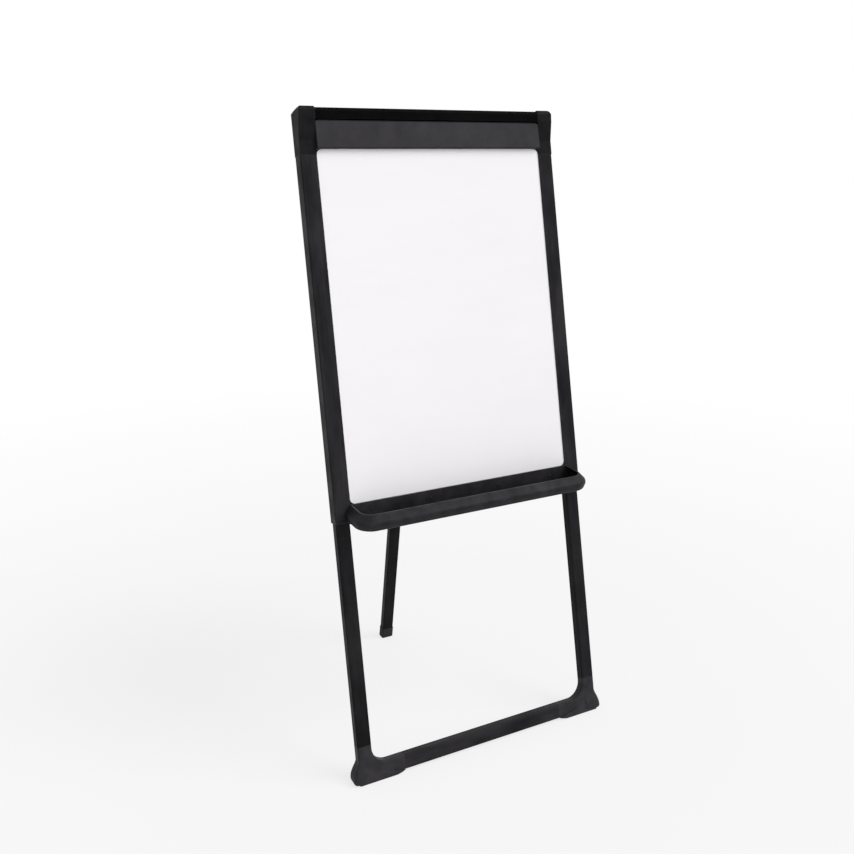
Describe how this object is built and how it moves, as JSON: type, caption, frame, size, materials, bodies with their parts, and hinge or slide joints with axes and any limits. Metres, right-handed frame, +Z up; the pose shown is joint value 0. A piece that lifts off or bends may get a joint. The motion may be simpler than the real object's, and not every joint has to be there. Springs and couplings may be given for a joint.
{
  "type": "whiteboard easel",
  "caption": "Leaning whiteboard easel with telescoping front legs joined by a crossbar, a folding rear leg, a marker tray and a sprung pad clamp.",
  "frame": {"origin": "on the floor in the middle of the footprint, from the front toes to the back of the rear foot", "axes": "+X to the right seen from the front of the board, +Y to the back, +Z up"},
  "size_m": [0.8226, 0.7122, 1.7972],
  "materials": {
    "frame_grey": "satin graphite coating",
    "charcoal_plastic": "fine matt texture",
    "black_plastic": "matt",
    "rubber": "matt",
    "board_white": "dry-wipe gloss",
    "hardboard": "raw hardboard",
    "black_steel": "powder coat",
    "zinc_steel": "zinc plated"
  },
  "bodies": {
    "upper_frame": {"left_rail": "frame_grey", "right_rail": "frame_grey", "left_rail_collar": "black_plastic", "right_rail_collar": "black_plastic", "left_lock_nut": "zinc_steel", "right_lock_nut": "zinc_steel", "left_corner_cap": "charcoal_plastic", "right_corner_cap": "charcoal_plastic", "cap_screws": "zinc_steel", "header_beam": "charcoal_plastic", "clamp_pins": "zinc_steel", "clamp_springs": "zinc_steel", "board_face": "board_white", "board_core": "hardboard", "bottom_rail": "frame_grey", "corner_brackets": "zinc_steel", "corner_screws": "zinc_steel", "tray": "charcoal_plastic", "tray_screws": "zinc_steel", "hinge_bracket": "black_steel", "bracket_screws": "zinc_steel", "hinge_pin": "zinc_steel"},
    "front_legs": {"left_leg_tube": "frame_grey", "right_leg_tube": "frame_grey", "left_leg_guide": "black_plastic", "right_leg_guide": "black_plastic", "left_foot": "black_plastic", "right_foot": "black_plastic", "left_foot_pad": "rubber", "right_foot_pad": "rubber", "crossbar": "frame_grey", "foot_screws": "zinc_steel"},
    "left_lock": {"left_lock_knob": "black_plastic", "left_lock_stud": "zinc_steel"},
    "right_lock": {"right_lock_knob": "black_plastic", "right_lock_stud": "zinc_steel"},
    "rear_leg_upper": {"rear_leg_head": "black_plastic", "rear_upper_tube": "frame_grey", "rear_collar": "black_plastic", "rear_lock_nut": "zinc_steel", "head_screws": "zinc_steel"},
    "rear_leg_lower": {"rear_lower_tube": "frame_grey", "rear_leg_guide": "black_plastic", "rear_foot": "rubber"},
    "rear_lock": {"rear_lock_knob": "black_plastic", "rear_lock_stud": "zinc_steel"},
    "pad_clamp": {"clamp_bar": "charcoal_plastic", "clamp_grip": "rubber"}
  },
  "joints": [
    {"name": "front_leg_slide", "type": "slide", "parent": "upper_frame", "child": "front_legs", "axis": [0, 0.2053, 0.9787], "range_m": [0, 0.56]},
    {"name": "left_lock_turn", "type": "hinge", "parent": "upper_frame", "child": "left_lock", "pos_m": [-0.37365, -0.16831, 0.73351], "axis": [0, 0.9787, -0.2053], "range_deg": [0, 360]},
    {"name": "right_lock_turn", "type": "hinge", "parent": "upper_frame", "child": "right_lock", "pos_m": [0.37365, -0.16831, 0.73351], "axis": [0, 0.9787, -0.2053], "range_deg": [0, 360]},
    {"name": "rear_leg_fold", "type": "hinge", "parent": "upper_frame", "child": "rear_leg_upper", "pos_m": [0, 0.05844, 1.71486], "axis": [-1, 0, 0], "range_deg": [0, 21.2]},
    {"name": "rear_leg_slide", "type": "slide", "parent": "rear_leg_upper", "child": "rear_leg_lower", "axis": [0, -0.1631, 0.9866], "range_m": [0, 0.48]},
    {"name": "rear_lock_turn", "type": "hinge", "parent": "rear_leg_upper", "child": "rear_lock", "pos_m": [0, 0.25302, 0.63615], "axis": [0, 0.9866, 0.1631], "range_deg": [0, 360]},
    {"name": "pad_clamp_open", "type": "hinge", "parent": "upper_frame", "child": "pad_clamp", "pos_m": [0, 0.00181, 1.75177], "axis": [-1, 0, 0], "range_deg": [0, 70], "stiffness_Nm_per_rad": 0.5, "springref_deg": -34.38, "deforming": ["clamp_springs"]}
  ]
}
